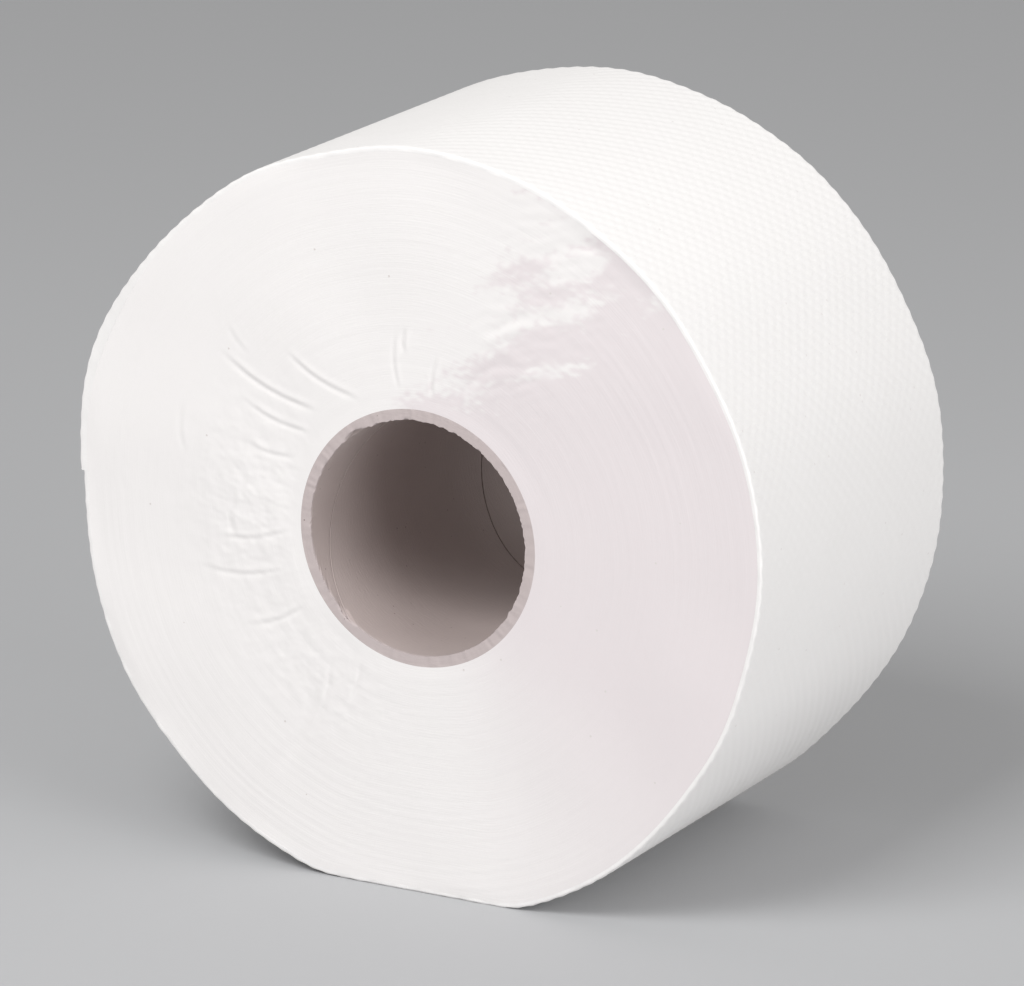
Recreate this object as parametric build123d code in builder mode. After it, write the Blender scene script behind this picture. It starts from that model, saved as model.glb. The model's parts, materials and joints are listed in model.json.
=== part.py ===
"""Soft wide-core toilet roll, lying on the flat that its own weight has pressed into it.

Millimetres, +Z up. The origin is the middle of the core's bore and the bore runs along Y.
The front end of the roll faces -Y.

Two pieces: the wound paper web, whose turns are one solid, and the cardboard core that the
first turn is glued to. The core has sunk a little inside the soft winding, so the winding's
crown, the round upper part, is centred a little above and to the left of the bore.
"""
import os
from math import asin, cos, degrees, radians, sin

from build123d import *

# ---- driving dimensions ---------------------------------------------------------------------
roll_width = 100.0  # along the axis, the same for the paper and the core

bore_radius = 28.5  # 57 mm (2 1/4 inch) spindle bore
core_wall = 2.6  # spirally wound card

crown_radius = 90.5  # round upper part of the winding
crown_rise = 2.5  # crown's centre above the bore's axis
crown_shift = -1.4  # crown's centre beside the bore's axis, along X
flat_press = 1.1  # how far the flat is pressed in from the crown's full circle

left_bulge = 2.7  # how much larger than the crown the left flank's radius is
right_bulge = 4.5  # and the right flank's
shoulder_radius = 30.0  # blend from each flank into the flat
rim_radius = 0.8  # worn outer edge at both ends

loose_turn_start = 141.0  # degrees from +X, where the outermost turn leaves the winding
loose_turn_end = 172.0  # and where it lies down again
loose_turn_lift = 1.9  # how far it stands off in between
loose_turn_setback = 2.0  # its edge lies this far behind the front end

# ---- worked-out sizes -----------------------------------------------------------------------
core_outer_radius = bore_radius + core_wall  # the paper is wound straight on to the card
crown_centre = Vector(crown_shift, crown_rise)
crown_height = crown_radius - flat_press  # crown's centre above the flat
left_centre = crown_centre + Vector(left_bulge, 0)
right_centre = crown_centre - Vector(right_bulge, 0)
left_flank_radius = crown_radius + left_bulge
right_flank_radius = crown_radius + right_bulge
left_sweep = degrees(asin(crown_height / left_flank_radius))  # from the crown's side to the flat
right_sweep = degrees(asin(crown_height / right_flank_radius))


def on_crown(angle: float, lift: float = 0.0) -> Vector:
    """Point of the end view at a polar angle, `lift` outside the crown's circle."""
    reach = crown_radius + lift
    return crown_centre + Vector(reach * cos(radians(angle)), reach * sin(radians(angle)))


# ---- paper: the wound web -------------------------------------------------------------------
# The end view is the crown's half circle, two flanks of larger radius that leave it level at
# its sides, and the flat. The loose outermost turn is a thin crescent on the upper left.
with BuildPart() as tissue_roll:
    with BuildSketch(Plane.XZ):
        with BuildLine():
            CenterArc(crown_centre, crown_radius, 0, 180)
            left_flank = CenterArc(left_centre, left_flank_radius, 180, left_sweep)
            right_flank = CenterArc(right_centre, right_flank_radius, -right_sweep, right_sweep)
            Line(left_flank @ 1, right_flank @ 0)
        make_face()
        fillet(vertices().group_by(Axis.Y)[0], shoulder_radius)
    extrude(amount=roll_width / 2, both=True)
    fillet(faces().filter_by(Axis.Y).edges(), rim_radius)

    loose_middle = (loose_turn_start + loose_turn_end) / 2
    with BuildSketch(Plane.XZ.offset(roll_width / 2 - loose_turn_setback)):
        with BuildLine():
            loose_turn = ThreePointArc(
                on_crown(loose_turn_start),
                on_crown(loose_middle, loose_turn_lift),
                on_crown(loose_turn_end),
            )
            Line(loose_turn @ 1, crown_centre)
            Line(crown_centre, loose_turn @ 0)
        make_face()
    extrude(amount=-(roll_width - 2 * loose_turn_setback))

    with BuildSketch(Plane.XZ):
        Circle(core_outer_radius)
    extrude(amount=roll_width / 2, both=True, mode=Mode.SUBTRACT)

# ---- core: the cardboard tube ---------------------------------------------------------------
with BuildPart() as cardboard_core:
    with BuildSketch(Plane.XZ):
        Circle(core_outer_radius)
        Circle(bore_radius, mode=Mode.SUBTRACT)
    extrude(amount=roll_width / 2, both=True)

# ---- one STEP file for each piece -----------------------------------------------------------
os.makedirs("parts", exist_ok=True)

tissue_roll.part.label = "tissue_roll"
export_step(tissue_roll.part, "parts/tissue_roll.step")

cardboard_core.part.label = "cardboard_core"
export_step(cardboard_core.part, "parts/cardboard_core.step")
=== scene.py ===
"""Looks of a soft wide-core toilet roll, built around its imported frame.

Metres, +Z up, the bore along Y and the front end facing -Y, as in the frame. Angles are in
degrees round the bore, from +X towards +Z. The winding is two closed pieces, the inner turns
and the embossed outer turns, and the core tube is a third.
"""
from __future__ import annotations

import json
import logging
import math
from dataclasses import dataclass
from enum import Enum

import bpy
import numpy as np
from mathutils import Matrix, Vector, noise

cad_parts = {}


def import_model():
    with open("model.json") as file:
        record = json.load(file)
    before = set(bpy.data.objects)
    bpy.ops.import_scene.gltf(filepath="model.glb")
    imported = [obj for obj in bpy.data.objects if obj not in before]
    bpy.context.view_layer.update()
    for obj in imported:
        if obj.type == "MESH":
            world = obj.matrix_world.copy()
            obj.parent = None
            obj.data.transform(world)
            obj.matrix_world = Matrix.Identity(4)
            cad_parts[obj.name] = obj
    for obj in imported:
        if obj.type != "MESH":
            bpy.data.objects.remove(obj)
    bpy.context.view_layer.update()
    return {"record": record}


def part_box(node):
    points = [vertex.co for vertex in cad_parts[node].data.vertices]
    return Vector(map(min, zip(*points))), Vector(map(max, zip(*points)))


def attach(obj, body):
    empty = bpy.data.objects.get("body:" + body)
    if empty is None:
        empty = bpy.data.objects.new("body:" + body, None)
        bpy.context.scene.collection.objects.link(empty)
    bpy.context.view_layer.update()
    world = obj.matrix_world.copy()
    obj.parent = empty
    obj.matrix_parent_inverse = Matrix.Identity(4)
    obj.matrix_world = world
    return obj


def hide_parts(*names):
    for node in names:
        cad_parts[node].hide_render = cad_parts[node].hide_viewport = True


LOG = logging.getLogger("toilet_roll")
MM = 0.001
DOWN = 270.0
UV_MAP = "paper"
WELD_GAP = 2e-6
SHARP_ANGLE = 40.0

Colour = tuple[float, float, float]
Section = list[tuple[float, float]]


class Slot(Enum):
    """Material slots of the record."""

    TISSUE = "tissue"
    CARD = "card"


class Mask(Enum):
    """Vertex masks that the materials read."""

    # painted shade where the front end's fibres are brushed away from the light
    NAP_SHADE = "nap_shade"
    # painted highlight along the front rim of the outer turns
    RIM_HIGHLIGHT = "rim"
    CUT = "cut"
    # painted shade in the groove of the core's seam
    SEAM_SHADE = "seam"


@dataclass(frozen=True)
class RollSizes:
    """Sizes of the roll, all read from the frame."""

    front: float
    back: float
    floor: float
    crown_radius: float
    crown_x: float
    crown_z: float
    core_radius: float
    bore_radius: float

    @classmethod
    def from_frame(cls, record: dict) -> "RollSizes":
        """Read the sizes from the nodes' boxes and the bore's mount.

        Args:
            record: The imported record.

        Returns:
            The roll's sizes in metres.
        """
        low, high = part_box("tissue_roll")
        core_low, core_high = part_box("cardboard_core")
        bore = next(m for m in record["mounts"] if m["name"] == "core_bore")
        radius = (high.x - low.x) / 2
        return cls(
            front=low.y,
            back=high.y,
            floor=low.z,
            crown_radius=radius,
            crown_x=(high.x + low.x) / 2,
            crown_z=high.z - radius,
            core_radius=(core_high.x - core_low.x) / 2,
            bore_radius=bore["dims"]["r_mm"] * MM,
        )


# ---- shaping functions ----------------------------------------------------------------------
def smooth(low: float, high: float, value: np.ndarray) -> np.ndarray:
    """Smooth step.

    Args:
        low: Value at which the step is still 0.
        high: Value from which the step is 1.
        value: The values.

    Returns:
        The step's height at each value.
    """
    t = np.clip((value - low) / (high - low), 0, 1)
    return t * t * (3 - 2 * t)


def bell(offset: np.ndarray, width: float) -> np.ndarray:
    """Soft bell of height 1.

    Args:
        offset: Distances from its middle.
        width: Distance at which it has fallen to about a third.

    Returns:
        The bell's height at each offset.
    """
    return np.exp(-((offset / width) ** 2))


def angle_gap(angle: np.ndarray, centre: float) -> np.ndarray:
    """Signed gap between angles and a centre.

    Args:
        angle: Angles in degrees.
        centre: The centre in degrees.

    Returns:
        The gaps, from -180 to 180.
    """
    return (angle - centre + 180) % 360 - 180


def gather(gap: np.ndarray, width: float, power: float) -> np.ndarray:
    """Pull columns towards a line, so that a fine edge there is well resolved.

    Args:
        gap: Signed gaps from the line.
        width: Gap from which nothing is pulled.
        power: How hard the columns are pulled, above 1.

    Returns:
        The new gaps.
    """
    size = np.abs(gap)
    return np.sign(gap) * np.where(size < width, width * (size / width) ** power, size)


def cloud(*axes: np.ndarray | float) -> np.ndarray:
    """Even noise, about -0.5 to 0.5.

    Args:
        *axes: Three coordinates in cycles of the noise, each an array or one number.

    Returns:
        One value for each point.
    """
    points = np.column_stack(np.broadcast_arrays(*axes))
    return np.array([noise.noise(Vector(point)) for point in points])


# ---- outline of the winding -----------------------------------------------------------------
@dataclass(frozen=True)
class Wave:
    """A gentle wave round the winding.

    Attributes:
        height: Its height in millimetres.
        cycles: Waves in a full turn.
        phase: Its phase at the front end, in radians.
        drift: How much its phase changes up to the back end.
    """

    height: float
    cycles: int
    phase: float
    drift: float


@dataclass(frozen=True)
class Lump:
    """A swelling of the winding, or a dent where its heights are negative.

    Attributes:
        angle: Where it is, in degrees.
        width: How far it spreads to each side, in degrees.
        front: Its height at the front end, in millimetres.
        back: Its height at the back end.
    """

    angle: float
    width: float
    front: float
    back: float


WAVES = (Wave(0.22, 5, 1.1, 0.8), Wave(0.2, 9, 0.4, -1.0), Wave(0.12, 15, 2.3, 1.7))
LUMPS = (
    Lump(184, 11, -0.9, -0.9),
    Lump(302, 9, 0.5, 0.5),
    Lump(326, 8, -0.4, -0.4),
    Lump(62, 7, 0.0, -0.5),
    Lump(118, 9, 0.45, 0.45),
)


@dataclass(frozen=True)
class Outline:
    """End view of the winding: crown, two fuller flanks, the flat, and the soft lumps."""

    sizes: RollSizes
    left_bulge: float = 2.7 * MM
    right_bulge: float = 4.5 * MM
    shoulder_blend: float = 0.7 * MM
    least_slope: float = 0.05
    firm_half_angle: float = 38.0

    def reach(self, angle: np.ndarray) -> np.ndarray:
        """Distance from the crown's centre to the outline.

        Args:
            angle: Polar angles in degrees, 0 along +X and 90 up.

        Returns:
            The distances in metres.
        """
        a = np.radians(angle)
        shift = np.where(np.cos(a) > 0, -self.right_bulge, self.left_bulge)
        shift = np.where(np.sin(a) < 0, shift, 0.0)
        radius = self.sizes.crown_radius + np.abs(shift)
        flank = shift * np.cos(a) + np.sqrt(radius**2 - (shift * np.sin(a)) ** 2)
        height = self.sizes.crown_z - self.sizes.floor
        flat = height / np.maximum(-np.sin(a), self.least_slope)
        blend = self.shoulder_blend
        return -blend * np.logaddexp(-flank / blend, -flat / blend)

    def lumps(self, angle: np.ndarray, depth: np.ndarray) -> np.ndarray:
        """Dents and swellings of the soft winding.

        Args:
            angle: Polar angles in degrees.
            depth: 0 at the front end to 1 at the back end.

        Returns:
            Heights in metres, nought in the middle of the flat.
        """
        a = np.radians(angle)
        height = sum(w.height * np.sin(w.cycles * a + w.phase + w.drift * depth) for w in WAVES)
        for lump in LUMPS:
            size = lump.front + (lump.back - lump.front) * depth
            height = height + size * bell(angle_gap(angle, lump.angle), lump.width)
        return height * MM * smooth(0, self.firm_half_angle, np.abs(angle_gap(angle, DOWN)))


# ---- pieces ---------------------------------------------------------------------------------
class Piece:
    """A closed piece that is turned from its section, then shaped by its points."""

    name: str
    node: str
    slot: Slot

    def turn(self, section: Section, around: int) -> bpy.types.Object:
        """Turn a closed section about the bore's axis.

        Args:
            section: Points (radius, y) round the section, in order.
            around: Number of steps in the full turn.

        Returns:
            The closed piece, still round.
        """
        bpy.ops.object.select_all(action="DESELECT")
        bpy.ops.mesh.primitive_circle_add(vertices=len(section), radius=0.01)
        piece = bpy.context.object
        piece.name = self.name
        piece.data.name = self.name
        for vertex, (radius, y) in zip(piece.data.vertices, section):
            vertex.co = (radius, y, 0.0)
        bpy.ops.object.mode_set(mode="EDIT")
        bpy.ops.mesh.select_all(action="SELECT")
        bpy.ops.mesh.spin(steps=around, angle=2 * math.pi, center=(0, 0, 0), axis=(0, 1, 0))
        bpy.ops.mesh.select_all(action="SELECT")
        bpy.ops.mesh.remove_doubles(threshold=WELD_GAP)
        bpy.ops.mesh.normals_make_consistent(inside=False)
        bpy.ops.object.mode_set(mode="OBJECT")
        return piece

    @staticmethod
    def polar(piece: bpy.types.Object) -> tuple[np.ndarray, np.ndarray, np.ndarray]:
        """Place of each vertex while the piece is still round.

        Args:
            piece: The piece.

        Returns:
            Radius in metres, angle from -180 to 180 degrees, and y in metres.
        """
        flat = np.zeros(len(piece.data.vertices) * 3)
        piece.data.vertices.foreach_get("co", flat)
        x, y, z = flat.reshape(-1, 3).T
        return np.hypot(x, z), np.degrees(np.arctan2(z, x)), y

    @staticmethod
    def place(piece: bpy.types.Object, x: np.ndarray, y: np.ndarray, z: np.ndarray) -> None:
        """Move the vertices.

        Args:
            piece: The piece.
            x: The new x of each vertex.
            y: The new y of each vertex.
            z: The new z of each vertex.
        """
        piece.data.vertices.foreach_set("co", np.column_stack([x, y, z]).ravel())
        piece.data.update()

    @staticmethod
    def paint(piece: bpy.types.Object, mask: Mask, values: np.ndarray) -> None:
        """Store a mask.

        Args:
            piece: The piece.
            mask: Which mask it is.
            values: 0 to 1 for each vertex.
        """
        layer = piece.data.attributes.new(mask.value, "FLOAT", "POINT")
        layer.data.foreach_set("value", values.astype(np.float32))

    @staticmethod
    def unroll(piece: bpy.types.Object, across: np.ndarray, up: np.ndarray, turn: float) -> None:
        """Lay the piece's UV map, in metres along and across the paper.

        Args:
            piece: The piece.
            across: The u of each vertex, which runs round the roll.
            up: The v of each vertex.
            turn: The length of u in a full turn, to close the map at its seam.
        """
        mesh = piece.data
        corner = np.zeros(len(mesh.loops), dtype=np.int64)
        mesh.loops.foreach_get("vertex_index", corner)
        start = np.zeros(len(mesh.polygons), dtype=np.int64)
        total = np.zeros(len(mesh.polygons), dtype=np.int64)
        mesh.polygons.foreach_get("loop_start", start)
        mesh.polygons.foreach_get("loop_total", total)
        u = across[corner]
        highest = np.repeat(np.maximum.reduceat(u, start), total)
        u = np.where(highest - u > turn / 2, u + turn, u)
        layer = mesh.uv_layers.new(name=UV_MAP)
        layer.data.foreach_set("uv", np.column_stack([u, up[corner]]).ravel().astype(np.float32))

    def finish(self, piece: bpy.types.Object, material: bpy.types.Material) -> None:
        """Shade, dress and bind the finished piece.

        Args:
            piece: The piece.
            material: Its material.
        """
        bpy.ops.object.select_all(action="DESELECT")
        piece.select_set(True)
        bpy.context.view_layer.objects.active = piece
        bpy.ops.object.shade_smooth_by_angle(angle=math.radians(SHARP_ANGLE))
        piece.data.materials.clear()
        piece.data.materials.append(material)
        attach(piece, "root")
        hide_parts(self.node)
        LOG.info("%s: %d faces", piece.name, len(piece.data.polygons))


# ---- front end ------------------------------------------------------------------------------
@dataclass(frozen=True)
class Crease:
    """A crease on the front end, from one (X, Z) point to another, in millimetres."""

    start: tuple[float, float]
    end: tuple[float, float]
    width: float
    depth: float

    def press(self, x: np.ndarray, z: np.ndarray) -> np.ndarray:
        """Depth of the bowed crease, with a small raised lip along one side.

        Args:
            x: X of the points in millimetres.
            z: Z of the points in millimetres.

        Returns:
            Inward depth in millimetres.
        """
        bow, lip_height, lip_offset, lip_width = -0.07, 0.55, 1.6, 1.2
        run_x, run_z = self.end[0] - self.start[0], self.end[1] - self.start[1]
        length = math.hypot(run_x, run_z)
        from_x, from_z = x - self.start[0], z - self.start[1]
        along = (from_x * run_x + from_z * run_z) / length
        middle = bow * length * np.sin(math.pi * np.clip(along / length, 0, 1))
        off = (from_z * run_x - from_x * run_z) / length - middle
        taper = smooth(-0.5, 0.35 * length, along) * (1 - smooth(0.8 * length, length + 1, along))
        lip = lip_height * bell(off - lip_offset * self.width, lip_width * self.width)
        return self.depth * taper * (bell(off, self.width) - lip)


FRONT_CREASES = (
    Crease((-54, 39), (-27, 27), 0.65, 0.55),
    Crease((-36, 41), (-16, 31.5), 0.6, 0.5),
    Crease((-48, 28), (-29, 21.5), 0.6, 0.4),
    Crease((-46, 17), (-33, 15), 0.6, 0.3),
    Crease((-51, 45), (-46, 39), 0.6, 0.2),
    Crease((-6, 50), (-5.5, 36), 0.55, 0.35),
    Crease((-3.5, 50), (-4.2, 45), 0.55, 0.6),
    Crease((5, 45), (3.5, 35), 0.55, 0.4),
    Crease((26, 47), (9, 34), 1.2, 0.4),
    Crease((31, 58), (18, 51), 1.3, 0.4),
    Crease((49, 76), (31, 71), 1.4, 0.4),
    Crease((-63, 25), (-63, 13), 0.55, 0.3),
    Crease((-50, 0), (-50, -5), 0.6, 0.45),
    Crease((-56, -7), (-34, -3), 0.65, 0.3),
    Crease((-60, -15), (-36, -13), 0.65, 0.3),
    Crease((-46, -28), (-30, -21), 0.65, 0.35),
    Crease((-29, -53), (-23, -33), 0.65, 0.4),
    Crease((-39, -64), (-27, -40), 1.6, 0.45),
    Crease((-19, -44), (-15, -33), 0.6, 0.3),
)


@dataclass(frozen=True)
class BrushedShadeSector:
    """Part of the front end whose fibres are brushed away from the light, on the right, where
    shade is painted into the colour.

    Attributes:
        upper: Angle of its ragged upper edge, far from the core.
        core_rise: How much higher that edge is beside the core.
        core_reach: Distance from the bore's axis at which it is that much higher, in mm.
        core_fade: Distance over which that fades, in mm.
        streaks: How far broad brush strokes shift the edge, in degrees.
        wisps: How far fine strokes shift it.
        softness: Half the angle that the edge takes.
        lower_end: Angle at which the sector has faded out below.
        lower_start: Angle at which it starts to fade.
    """

    upper: float = 58.0
    core_rise: float = 19.0
    core_reach: float = 38.0
    core_fade: float = 15.0
    streaks: float = 24.0
    wisps: float = 10.0
    softness: float = 7.0
    lower_end: float = -85.0
    lower_start: float = -25.0

    def mask(self, angle: np.ndarray, x: np.ndarray, z: np.ndarray) -> np.ndarray:
        """How far the fibres are brushed, which sets how much shade is painted there.

        Args:
            angle: Polar angles in degrees, from -180 to 180.
            x: X of the points in millimetres.
            z: Z of the points in millimetres.

        Returns:
            0 to 1 for each point.
        """
        r = np.hypot(x, z)
        streak = cloud(x * 0.05 + z * 0.02, z * 0.15 - x * 0.06, 0.0)
        wisp = cloud(x * 0.5, z * 0.9, 7.0)
        edge = self.upper + self.core_rise * np.exp(-(r - self.core_reach) / self.core_fade)
        edge = edge + self.streaks * streak + self.wisps * wisp
        above = smooth(-self.softness, self.softness, edge - angle)
        return above * smooth(self.lower_end, self.lower_start, angle)


@dataclass(frozen=True)
class EndRelief:
    """Relief of the cut ends, all heights in millimetres."""

    turns: float = 0.04
    fine_turns: float = 0.02
    swell: float = 0.5
    swell_cycle: float = 0.035
    crumple: float = 0.2
    crumple_reach: float = 46.0
    crumple_spread: float = 14.0
    crease_share: float = 0.55
    brushed: float = 0.16
    brushed_angle: float = 60.0
    brushed_spread: float = 13.0

    def height(
        self, angle: np.ndarray, t: np.ndarray, x: np.ndarray, z: np.ndarray, front: np.ndarray
    ) -> np.ndarray:
        """Height of the end above its plane.

        Args:
            angle: Polar angles in degrees, from -180 to 180.
            t: 0 at the core to 1 at the outline.
            x: X of the points in millimetres.
            z: Z of the points in millimetres.
            front: True on the front end.

        Returns:
            The heights in millimetres, nought beside the core and at the rim.
        """
        r = np.hypot(x, z)
        height = self.turns * cloud(r * 0.9, angle * 0.012, front * 9.0)
        height = height + self.fine_turns * cloud(r * 2.4, angle * 0.02, 0.0)
        cycle = self.swell_cycle
        height = height + self.swell * cloud(x * cycle, z * cycle, (front * 30 + 3) * cycle)
        crumple = cloud(x * 0.33, z * 0.33, 3.63) + 0.6 * cloud(x * 0.8, z * 0.8, 4.0)
        beside_core = bell(r - self.crumple_reach, self.crumple_spread)
        sides = bell(angle_gap(angle, 178), 34) + 0.7 * bell(angle_gap(angle, 238), 22)
        height = height + self.crumple * crumple * beside_core * sides
        pressed = self.crease_share * sum(crease.press(x, z) for crease in FRONT_CREASES)
        stroke = cloud(x * 0.2 + z * 0.1, z * 0.5 - x * 0.25, 0.0)
        near_edge = bell(angle - self.brushed_angle, self.brushed_spread) * smooth(36, 46, r)
        height = height - (pressed - self.brushed * stroke * near_edge) * front
        return height * smooth(0.0, 0.06, t) * (1 - smooth(0.93, 1.0, t))


class InnerTurns(Piece):
    """The winding without its outermost turns, with both cut ends."""

    name: str = "inner_turns"
    node: str = "tissue_roll"
    slot: Slot = Slot.TISSUE
    around: int = 640
    front_steps: int = 96
    back_steps: int = 44

    def __init__(self, sizes: RollSizes, outline: Outline, band: float) -> None:
        """Keep what the piece is made from.

        Args:
            sizes: Sizes of the roll.
            outline: End view of the winding.
            band: Thickness that is left to the outer turns.
        """
        self.sizes = sizes
        self.outline = outline
        self.band = band
        self.sector = BrushedShadeSector()
        self.relief = EndRelief()

    def build(self) -> bpy.types.Object:
        """Model the piece, and lay its UV map and mask.

        Returns:
            The piece.
        """
        s = self.sizes
        inner, outer = s.core_radius, s.crown_radius - self.band
        front = [(float(r), s.front) for r in np.linspace(inner, outer, self.front_steps + 1)]
        back = [(float(r), s.back) for r in np.linspace(outer, inner, self.back_steps + 1)]
        piece = self.turn(front + back, self.around)
        radius, angle, y = self.polar(piece)
        t = (radius - inner) / (s.crown_radius - inner)
        on_front = y < 0
        depth = np.where(on_front, 0.0, 1.0)
        full = self.outline.reach(angle) + self.outline.lumps(angle, depth)
        reach = inner + t * (full - inner)
        x = t * s.crown_x + reach * np.cos(np.radians(angle))
        z = t * s.crown_z + reach * np.sin(np.radians(angle))
        rise = self.relief.height(angle, t, x / MM, z / MM, on_front) * MM
        self.place(piece, x, y + np.where(on_front, -rise, rise), z)
        # paints shade into the front end where its fibres are brushed away from the light
        self.paint(piece, Mask.NAP_SHADE, self.sector.mask(angle, x / MM, z / MM) * on_front)
        turn = 2 * math.pi * s.crown_radius
        self.unroll(piece, (angle + 180) / 360 * turn, t * (s.crown_radius - inner), turn)
        return piece


# ---- side -----------------------------------------------------------------------------------
@dataclass(frozen=True)
class Emboss:
    """Fine dotted emboss, whose rows lean across the paper."""

    dots_around: int = 135
    dots_across: int = 24
    steps_a_dot: int = 5
    height: float = 0.075 * MM
    cross_share: float = 0.6
    pressed_share: float = 0.8
    pressed_half_angle: float = 15.0

    def rise(self, angle: np.ndarray, depth: np.ndarray) -> np.ndarray:
        """Height of the emboss, pressed down where the roll rests.

        Args:
            angle: Angles in degrees.
            depth: 0 at the front end to 1 at the back end.

        Returns:
            The heights in metres.
        """
        u = 2 * math.pi * self.dots_around * angle / 360
        v = 2 * math.pi * self.dots_across * depth
        from_rest = np.abs(angle_gap(angle, DOWN))
        pressed = self.pressed_share * (1 - smooth(0, self.pressed_half_angle, from_rest))
        return self.height * (np.cos(u + v) + self.cross_share * np.cos(u - v)) * (1 - pressed)


@dataclass(frozen=True)
class LooseEnd:
    """The last stretch of paper: where it stands off the winding, and its torn end.

    Attributes:
        angle: Where it stands off furthest.
        width: How far that spreads to each side, in degrees.
        lift: How far it stands off.
        setback: How far its edge lies behind the front end there.
        setback_angle: Where it lies behind furthest.
        setback_width: How far that spreads to each side.
        tear_angle: Angle of the torn end.
        tear_step: Height of the torn end above the turn below.
        tear_half_width: Half the angle in which it steps down.
        gather_width: Angle in which columns are gathered at the torn end.
        gather_power: How hard they are gathered.
    """

    angle: float = 156.0
    width: float = 10.5
    lift: float = 1.9 * MM
    setback: float = 1.5 * MM
    setback_angle: float = 155.0
    setback_width: float = 9.0
    tear_angle: float = 178.5
    tear_step: float = 0.75 * MM
    tear_half_width: float = 0.27
    gather_width: float = 4.0
    gather_power: float = 2.2

    def stand_off(self, angle: np.ndarray, depth: np.ndarray) -> np.ndarray:
        """How far the loose stretch stands off the winding.

        Args:
            angle: Angles in degrees.
            depth: 0 at the front end to 1 at the back end.

        Returns:
            The distances in metres.
        """
        wander = 0.85 + 0.25 * np.sin(5.1 * depth + 0.6)
        return self.lift * bell(angle_gap(angle, self.angle), self.width) * wander

    def set_back(self, angle: np.ndarray) -> np.ndarray:
        """How far the loose stretch's edge lies behind the front end.

        Args:
            angle: Angles in degrees.

        Returns:
            The distances in metres.
        """
        return self.setback * bell(angle_gap(angle, self.setback_angle), self.setback_width)

    def tear(self, angle: np.ndarray, y: np.ndarray) -> tuple[np.ndarray, np.ndarray]:
        """Gather the columns at the torn end, along its teeth, and step down past it.

        Args:
            angle: Angles in degrees.
            y: Positions across the paper.

        Returns:
            The gathered angles, and the height above the turn below.
        """
        teeth = 0.35 * np.sin(y / MM * 1.35) + 0.3 * np.sin(y / MM * 0.23 + 1)
        gap = angle_gap(angle, self.tear_angle)
        shift = gather(gap, self.gather_width, self.gather_power) - gap
        edge = 1 - smooth(-self.tear_half_width, self.tear_half_width, gap)
        return angle + shift + teeth * bell(gap, 5), self.tear_step * edge * smooth(-45, -8, gap)


class OuterTurns(Piece):
    """The outermost turns: the embossed side, the worn rims with a painted highlight along the
    front one, and the loose end.
    """

    name: str = "outer_turns"
    node: str = "tissue_roll"
    slot: Slot = Slot.TISSUE
    rim: float = 0.55 * MM
    rim_angles: tuple[float, ...] = (0, 22.5, 45, 67.5, 90)
    proud: float = 0.12 * MM
    proud_angle: float = 350.0
    proud_width: float = 55.0
    ragged: float = 0.18 * MM
    rim_share: float = 0.03

    def __init__(self, sizes: RollSizes, outline: Outline, band: float) -> None:
        """Keep what the piece is made from.

        Args:
            sizes: Sizes of the roll.
            outline: End view of the winding.
            band: The piece's thickness.
        """
        self.sizes = sizes
        self.outline = outline
        self.band = band
        self.emboss = Emboss()
        self.loose_end = LooseEnd()

    def section(self) -> Section:
        """Section of the band, with a rounded rim at each end.

        Returns:
            Points (radius, y) in order.
        """
        s, rim, outer = self.sizes, self.rim, self.sizes.crown_radius
        arc = [math.radians(angle) for angle in self.rim_angles]
        front = [(outer - rim + rim * math.sin(a), s.front + rim - rim * math.cos(a)) for a in arc]
        back = [(radius, -y) for radius, y in reversed(front)]
        steps = self.emboss.dots_across * self.emboss.steps_a_dot
        side = np.linspace(s.front + rim, s.back - rim, steps + 1)[1:-1]
        inner = outer - self.band
        middle = [(outer, float(y)) for y in side]
        return [(inner, s.front)] + front + middle + back + [(inner, s.back)]

    def build(self) -> bpy.types.Object:
        """Model the band, and lay its UV map and mask.

        Returns:
            The piece.
        """
        s, rim, loose = self.sizes, self.rim, self.loose_end
        outer, inner = s.crown_radius, s.crown_radius - self.band
        piece = self.turn(self.section(), self.emboss.dots_around * self.emboss.steps_a_dot)
        radius, angle, y = self.polar(piece)
        angle = angle % 360
        depth = (y - s.front) / (s.back - s.front)
        skin = smooth(inner, outer - rim, radius)
        shape_angle, step = loose.tear(angle, y)
        base = self.outline.reach(shape_angle) + self.outline.lumps(shape_angle, depth)
        t = (radius - s.core_radius) / (outer - s.core_radius)
        reach = s.core_radius + t * (base - s.core_radius)
        reach = reach + skin * (loose.stand_off(angle, depth) + step)
        reach = reach + self.emboss.rise(angle, depth) * smooth(outer - 0.5 * rim, outer, radius)
        proud = self.proud * bell(angle_gap(angle, self.proud_angle), self.proud_width)
        ragged = self.ragged * cloud(angle * 0.4, depth * 2, 0.0)
        at_front = (1 - smooth(0.0, self.rim_share, depth)) * skin
        a = np.radians(shape_angle)
        x = t * s.crown_x + reach * np.cos(a)
        z = np.maximum(t * s.crown_z + reach * np.sin(a), s.floor)
        self.place(piece, x, y - (proud - loose.set_back(angle) + ragged) * at_front, z)
        # paints a highlight along the front rim, where its rounded edge catches the light
        self.paint(piece, Mask.RIM_HIGHLIGHT, at_front)
        turn = 2 * math.pi * outer
        self.unroll(piece, angle / 360 * turn, y - s.front, turn)
        return piece


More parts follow.
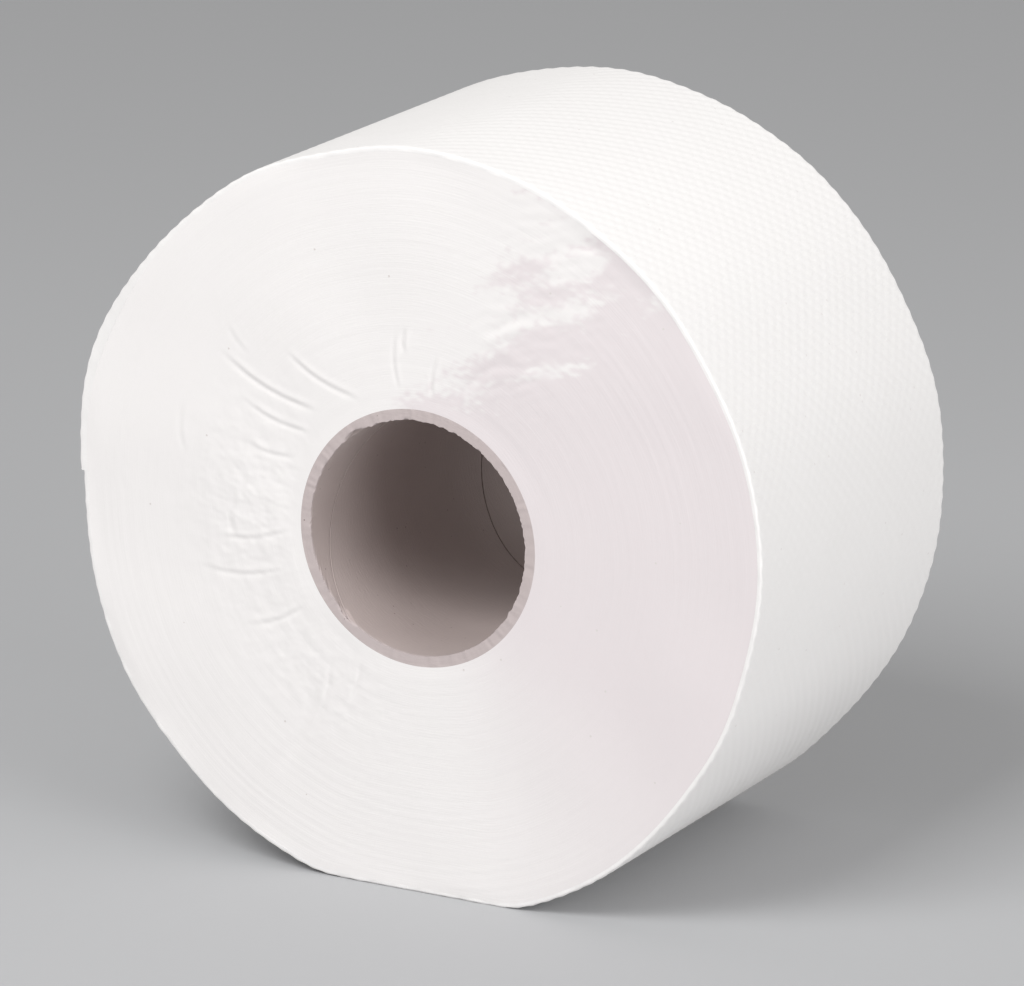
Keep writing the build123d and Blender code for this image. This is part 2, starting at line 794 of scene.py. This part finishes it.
# ---- core -----------------------------------------------------------------------------------
@dataclass(frozen=True)
class Seam:
    """Butt seam between the windings of the innermost card ply.

    Attributes:
        pitch: How far it moves along the bore in a full turn.
        mouth: Angle at which it comes out at the front end.
        half_width: Half the seam's width, in degrees.
        depth: Its depth.
        lip: Height of the ply's lifted edge beside it.
        lip_angle: Where that edge is highest, in degrees from the seam.
        lip_width: How far it spreads, in degrees.
        gather_width: Angle in which columns are gathered at the seam.
        gather_power: How hard they are gathered.
    """

    pitch: float = 76 * MM
    mouth: float = 230.0
    half_width: float = 0.42
    depth: float = 0.55 * MM
    lip: float = 0.12 * MM
    lip_angle: float = 1.6
    lip_width: float = 1.1
    gather_width: float = 6.0
    gather_power: float = 2.0


@dataclass(frozen=True)
class Nick:
    """A place where the card's front edge has torn away.

    Attributes:
        angle: Where it is, in degrees.
        width: How far it spreads to each side.
        depth: How deep it is, in metres.
    """

    angle: float
    width: float
    depth: float


class CardCore(Piece):
    """The spirally wound card tube, with its seam and its torn front edge."""

    name: str = "core_tube"
    node: str = "cardboard_core"
    slot: Slot = Slot.CARD
    around: int = 480
    wall_points: int = 7
    inside_steps: int = 110
    outside_steps: int = 40
    edge_depth: float = 1.8 * MM
    cut_depth: float = 0.5 * MM
    bore_skin: float = 0.6 * MM
    rough: float = 0.32 * MM
    rough_end: float = 0.16 * MM
    nicks: tuple[Nick, ...] = (
        Nick(127.0, 4.2, 1.5 * MM),
        Nick(229.0, 4.0, 1.0 * MM),
        Nick(96.0, 1.2, 0.3 * MM),
        Nick(150.0, 2.0, 0.3 * MM),
    )

    def __init__(self, sizes: RollSizes) -> None:
        """Keep what the piece is made from.

        Args:
            sizes: Sizes of the roll.
        """
        self.sizes = sizes
        self.seam = Seam()

    def section(self) -> Section:
        """Section of the tube's wall.

        Returns:
            Points (radius, y) in order.
        """
        s = self.sizes
        wall = [float(r) for r in np.linspace(s.core_radius, s.bore_radius, self.wall_points)]
        inside = np.linspace(s.front, s.back, self.inside_steps + 1)[1:-1]
        outside = np.linspace(s.back, s.front, self.outside_steps + 1)[1:-1]
        return (
            [(radius, s.front) for radius in wall]
            + [(s.bore_radius, float(y)) for y in inside]
            + [(radius, s.back) for radius in reversed(wall)]
            + [(s.core_radius, float(y)) for y in outside]
        )

    def build(self) -> bpy.types.Object:
        """Model the tube with its columns along the seam, and lay its UV map and masks.

        Returns:
            The piece.
        """
        s, seam = self.sizes, self.seam
        piece = self.turn(self.section(), self.around)
        radius, column, y = self.polar(piece)
        depth = y - s.front
        from_seam = gather(angle_gap(column, 0), seam.gather_width, seam.gather_power)
        angle = from_seam + seam.mouth - depth / seam.pitch * 360
        bored = 1 - smooth(s.bore_radius, s.bore_radius + self.bore_skin, radius)
        mouth = 1 - smooth(0, self.edge_depth, depth)
        opening = 0.55 + 0.45 * smooth(0.2, 0.6, depth / (s.back - s.front))
        groove = bell(from_seam / opening, seam.half_width) * bored
        lip = bell(from_seam - seam.lip_angle, seam.lip_width) * bored
        around, along = angle * 0.35, y * 900
        rough = cloud(around, along, 0.0) + 0.6 * cloud(around * 2.7, along * 2.7, 0.0)
        moved = radius + seam.depth * groove - seam.lip * lip + self.rough * rough * bored * mouth
        torn = self.rough_end * cloud((around + 4) * 1.4, (along + 4) * 1.4, 5.6) * mouth
        forward = y - torn * (moved < s.core_radius - 0.1 * MM)
        for nick in self.nicks:
            bite = nick.depth * bell(angle_gap(angle, nick.angle), nick.width) * mouth * bored
            moved = moved + bite
            forward = forward + 0.9 * bite
        moved = np.minimum(moved, s.core_radius)
        a = np.radians(angle)
        self.place(piece, moved * np.cos(a), forward, moved * np.sin(a))
        self.paint(piece, Mask.CUT, 1 - smooth(0, self.cut_depth, depth))
        # paints shade into the seam's groove, darkest where the groove is deepest
        self.paint(piece, Mask.SEAM_SHADE, groove)
        turn = 2 * math.pi * s.bore_radius
        self.unroll(piece, column % 360 / 360 * turn, y + moved, turn)
        return piece


# ---- materials ------------------------------------------------------------------------------
def new_group(name: str, inputs: dict[str, float], output: str) -> bpy.types.NodeTree:
    """Start a shader node group with a vector, named values and one value out.

    Args:
        name: The group's name.
        inputs: Names and defaults of its value inputs.
        output: Name of its output.

    Returns:
        The empty group, with its input and output nodes.
    """
    group = bpy.data.node_groups.new(name, "ShaderNodeTree")
    group.interface.new_socket("Vector", in_out="INPUT", socket_type="NodeSocketVector")
    for label, value in inputs.items():
        socket = group.interface.new_socket(label, in_out="INPUT", socket_type="NodeSocketFloat")
        socket.default_value = value
    group.interface.new_socket(output, in_out="OUTPUT", socket_type="NodeSocketFloat")
    group.nodes.new("NodeGroupInput")
    group.nodes.new("NodeGroupOutput")
    return group


def fibre_group() -> bpy.types.NodeTree:
    """Matted paper fibres, as a height of 0 to 1 from noise stretched along the paper.

    Returns:
        The node group.
    """
    group = new_group("paper_fibres", {"Along": 1.0, "Across": 1.0, "Detail": 6.0}, "Height")
    nodes, links = group.nodes, group.links
    source, result = nodes["Group Input"], nodes["Group Output"]
    stretch = nodes.new("ShaderNodeCombineXYZ")
    links.new(source.outputs["Along"], stretch.inputs["X"])
    links.new(source.outputs["Across"], stretch.inputs["Y"])
    links.new(source.outputs["Along"], stretch.inputs["Z"])
    scaled = nodes.new("ShaderNodeVectorMath")
    scaled.operation = "MULTIPLY"
    links.new(source.outputs["Vector"], scaled.inputs[0])
    links.new(stretch.outputs[0], scaled.inputs[1])
    grain = nodes.new("ShaderNodeTexNoise")
    grain.inputs["Scale"].default_value = 1.0
    grain.inputs["Roughness"].default_value = 0.62
    links.new(scaled.outputs[0], grain.inputs["Vector"])
    links.new(source.outputs["Detail"], grain.inputs["Detail"])
    links.new(grain.outputs["Fac"], result.inputs["Height"])
    return group


def speck_group() -> bpy.types.NodeTree:
    """Sparse dark specks, as a mask of 0 or 1.

    Returns:
        The node group.
    """
    group = new_group("specks", {"Scale": 300.0, "Size": 0.1}, "Mask")
    nodes, links = group.nodes, group.links
    source, result = nodes["Group Input"], nodes["Group Output"]
    cells = nodes.new("ShaderNodeTexVoronoi")
    links.new(source.outputs["Vector"], cells.inputs["Vector"])
    links.new(source.outputs["Scale"], cells.inputs["Scale"])
    near = nodes.new("ShaderNodeMath")
    near.operation = "LESS_THAN"
    links.new(cells.outputs["Distance"], near.inputs[0])
    links.new(source.outputs["Size"], near.inputs[1])
    links.new(near.outputs[0], result.inputs["Mask"])
    return group


@dataclass(frozen=True)
class Tint:
    """A colour that shows where a vertex mask is high."""

    mask: Mask
    colour: Colour
    amount: float


@dataclass(frozen=True)
class Finish:
    """A fibrous matt finish.

    Attributes:
        name: The material's name.
        light: The lighter of the two colours that it drifts between.
        shade: The darker one.
        roughness: Roughness of the surface.
        along: Fibres in a metre along the UV map's u.
        across: Fibres in a metre along its v.
        relief: Height of the fibres in metres.
        speck_colour: Colour of its few specks.
        speck_size: Radius of a speck, as a share of the cell it is in.
        speck_scale: Cells in a metre.
        tints: Colours that show where masks are high.
    """

    name: str
    light: Colour
    shade: Colour
    roughness: float
    along: float
    across: float
    relief: float
    speck_colour: Colour
    speck_size: float
    speck_scale: float
    tints: tuple[Tint, ...]
    specular: float = 0.2
    sheen: float = 0.08
    drift_scale: float = 55.0
    drift_detail: float = 5.0

    def build(self, fibres: bpy.types.NodeTree, specks: bpy.types.NodeTree) -> bpy.types.Material:
        """Make the material.

        Args:
            fibres: The fibre relief group.
            specks: The speck group.

        Returns:
            The material, ready to assign.
        """
        material = bpy.data.materials.new(self.name)
        material.use_nodes = True
        nodes, links = material.node_tree.nodes, material.node_tree.links
        shader = nodes["Principled BSDF"]
        shader.inputs["Roughness"].default_value = self.roughness
        shader.inputs["Specular IOR Level"].default_value = self.specular
        shader.inputs["Sheen Weight"].default_value = self.sheen
        place = nodes.new("ShaderNodeTexCoord")
        drift = nodes.new("ShaderNodeTexNoise")
        drift.inputs["Scale"].default_value = self.drift_scale
        drift.inputs["Detail"].default_value = self.drift_detail
        links.new(place.outputs["Object"], drift.inputs["Vector"])
        base = nodes.new("ShaderNodeMix")
        base.data_type = "RGBA"
        base.inputs["A"].default_value = (*self.shade, 1)
        base.inputs["B"].default_value = (*self.light, 1)
        links.new(drift.outputs["Fac"], base.inputs["Factor"])
        colour = base.outputs["Result"]
        for tint in self.tints:
            layer = nodes.new("ShaderNodeAttribute")
            layer.attribute_name = tint.mask.value
            share = nodes.new("ShaderNodeMath")
            share.operation = "MULTIPLY"
            share.inputs[1].default_value = tint.amount
            links.new(layer.outputs["Fac"], share.inputs[0])
            colour = self._mix(material, share.outputs[0], colour, tint.colour)
        dots = nodes.new("ShaderNodeGroup")
        dots.node_tree = specks
        dots.inputs["Scale"].default_value = self.speck_scale
        dots.inputs["Size"].default_value = self.speck_size
        links.new(place.outputs["Object"], dots.inputs["Vector"])
        colour = self._mix(material, dots.outputs["Mask"], colour, self.speck_colour)
        links.new(colour, shader.inputs["Base Color"])
        self._add_relief(material, fibres)
        return material

    @staticmethod
    def _mix(
        material: bpy.types.Material,
        share: bpy.types.NodeSocket,
        colour: bpy.types.NodeSocket,
        added: Colour,
    ) -> bpy.types.NodeSocket:
        """Mix a constant colour into another.

        Args:
            material: The material.
            share: How much of the added colour shows.
            colour: The colour that it is mixed into.
            added: The added colour.

        Returns:
            The mixed colour.
        """
        nodes, links = material.node_tree.nodes, material.node_tree.links
        mix = nodes.new("ShaderNodeMix")
        mix.data_type = "RGBA"
        mix.inputs["B"].default_value = (*added, 1)
        links.new(share, mix.inputs["Factor"])
        links.new(colour, mix.inputs["A"])
        return mix.outputs["Result"]

    def _add_relief(self, material: bpy.types.Material, fibres: bpy.types.NodeTree) -> None:
        """Raise the fibres as bump.

        Args:
            material: The material.
            fibres: The fibre relief group.
        """
        nodes, links = material.node_tree.nodes, material.node_tree.links
        paper = nodes.new("ShaderNodeUVMap")
        paper.uv_map = UV_MAP
        grain = nodes.new("ShaderNodeGroup")
        grain.node_tree = fibres
        grain.inputs["Along"].default_value = self.along
        grain.inputs["Across"].default_value = self.across
        links.new(paper.outputs["UV"], grain.inputs["Vector"])
        bump = nodes.new("ShaderNodeBump")
        bump.inputs["Distance"].default_value = self.relief
        bump.inputs["Strength"].default_value = 1.0
        links.new(grain.outputs["Height"], bump.inputs["Height"])
        links.new(bump.outputs["Normal"], nodes["Principled BSDF"].inputs["Normal"])


CUT_END = Finish(
    name="tissue_cut_end",
    light=(0.885, 0.862, 0.852),
    shade=(0.862, 0.838, 0.828),
    roughness=0.96,
    along=60.0,
    across=2600.0,
    relief=0.05 * MM,
    speck_colour=(0.72, 0.68, 0.66),
    speck_size=0.03,
    speck_scale=110.0,
    # painted shade, darker and pinker, where the front end's fibres are brushed away from the
    # light
    tints=(Tint(Mask.NAP_SHADE, (0.785, 0.728, 0.736), 1.0),),
)
EMBOSSED = Finish(
    name="tissue_embossed",
    light=(0.89, 0.875, 0.865),
    shade=(0.872, 0.855, 0.845),
    roughness=0.93,
    along=2300.0,
    across=420.0,
    relief=0.1 * MM,
    speck_colour=(0.80, 0.77, 0.76),
    speck_size=0.05,
    speck_scale=160.0,
    # painted highlight, a little lighter, along the front rim of the outer turns
    tints=(Tint(Mask.RIM_HIGHLIGHT, (0.91, 0.89, 0.88), 0.2),),
)
GREY_CARD = Finish(
    name="grey_card",
    light=(0.50, 0.425, 0.405),
    shade=(0.43, 0.36, 0.345),
    roughness=0.88,
    along=420.0,
    across=1500.0,
    relief=0.12 * MM,
    speck_colour=(0.27, 0.22, 0.21),
    speck_size=0.05,
    speck_scale=260.0,
    tints=(
        Tint(Mask.CUT, (0.56, 0.49, 0.485), 0.8),
        # painted shade, near black, in the seam's groove
        Tint(Mask.SEAM_SHADE, (0.05, 0.04, 0.045), 0.9),
    ),
)


# ---- studio ---------------------------------------------------------------------------------
@dataclass(frozen=True)
class Lamp:
    """A square soft lamp that faces the roll, with its place and size in metres."""

    name: str
    place: tuple[float, float, float]
    size: float
    power: float

    def hang(self) -> None:
        """Add the lamp to the scene."""
        bpy.ops.object.light_add(type="AREA", location=self.place)
        lamp = bpy.context.object
        lamp.name = self.name
        lamp.data.size = self.size
        lamp.data.energy = self.power
        lamp.rotation_euler = (-Vector(self.place)).to_track_quat("-Z", "Y").to_euler()


LAMPS = (
    Lamp("top_front_lamp", (-0.2, -1.1, 1.235), 0.8, 16.8),
    Lamp("side_lamp", (1.618, -0.55, 0.498), 1.0, 13.6),
)


@dataclass(frozen=True)
class Studio:
    """Pale floor, sky and camera. The camera's angles are round its aim, in degrees."""

    floor: float
    azimuth: float = 27.77
    elevation: float = 15.83
    roll: float = 0.63
    distance: float = 1.7197
    aim: tuple[float, float, float] = (-1.4 * MM, 0.0, -1.4 * MM)
    focal_length: float = 252.6
    sensor_width: float = 36.0
    farthest: float = 20.0
    floor_size: float = 12.0
    floor_colour: Colour = (0.47, 0.475, 0.485)
    floor_roughness: float = 0.9
    sky_colour: Colour = (1.0, 0.99, 0.98)
    sky_strength: float = 0.5

    def build(self) -> None:
        """Make the camera, the floor, the lamps and the sky."""
        self._add_camera()
        self._add_floor()
        for lamp in LAMPS:
            lamp.hang()
        self._add_sky()
        bpy.context.scene.view_settings.view_transform = "Standard"

    def _add_camera(self) -> None:
        """Place the camera by its angles round the aim."""
        azimuth, elevation = math.radians(self.azimuth), math.radians(self.elevation)
        forward = Vector(
            (
                -math.cos(elevation) * math.sin(azimuth),
                math.cos(elevation) * math.cos(azimuth),
                -math.sin(elevation),
            )
        )
        turn = forward.to_track_quat("-Z", "Y").to_matrix()
        turn = turn @ Matrix.Rotation(math.radians(self.roll), 3, "Z")
        bpy.ops.object.camera_add(location=Vector(self.aim) - forward * self.distance)
        camera = bpy.context.object
        camera.rotation_euler = turn.to_euler()
        camera.data.lens = self.focal_length
        camera.data.sensor_width = self.sensor_width
        camera.data.clip_end = self.farthest
        bpy.context.scene.camera = camera

    def _add_floor(self) -> None:
        """Lay the floor under the flat."""
        bpy.ops.mesh.primitive_plane_add(size=self.floor_size, location=(0, 0, self.floor))
        floor = bpy.context.object
        floor.name = "floor"
        paint = bpy.data.materials.new("pale_floor")
        paint.use_nodes = True
        shader = paint.node_tree.nodes["Principled BSDF"]
        shader.inputs["Base Color"].default_value = (*self.floor_colour, 1)
        shader.inputs["Roughness"].default_value = self.floor_roughness
        floor.data.materials.append(paint)

    def _add_sky(self) -> None:
        """Light the scene evenly from all round."""
        world = bpy.data.worlds.new("studio")
        world.use_nodes = True
        backdrop = world.node_tree.nodes["Background"]
        backdrop.inputs["Color"].default_value = (*self.sky_colour, 1)
        backdrop.inputs["Strength"].default_value = self.sky_strength
        bpy.context.scene.world = world


def main() -> None:
    """Build the roll round its frame."""
    logging.basicConfig(level=logging.INFO)
    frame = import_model()
    sizes = RollSizes.from_frame(frame["record"])
    Studio(floor=sizes.floor).build()
    outline = Outline(sizes)
    band = 1.15 * MM
    fibres, specks = fibre_group(), speck_group()
    dressed = (
        (InnerTurns(sizes, outline, band), CUT_END),
        (OuterTurns(sizes, outline, band), EMBOSSED),
        (CardCore(sizes), GREY_CARD),
    )
    for piece, finish in dressed:
        piece.finish(piece.build(), finish.build(fibres, specks))


if __name__ == "__main__":
    main()
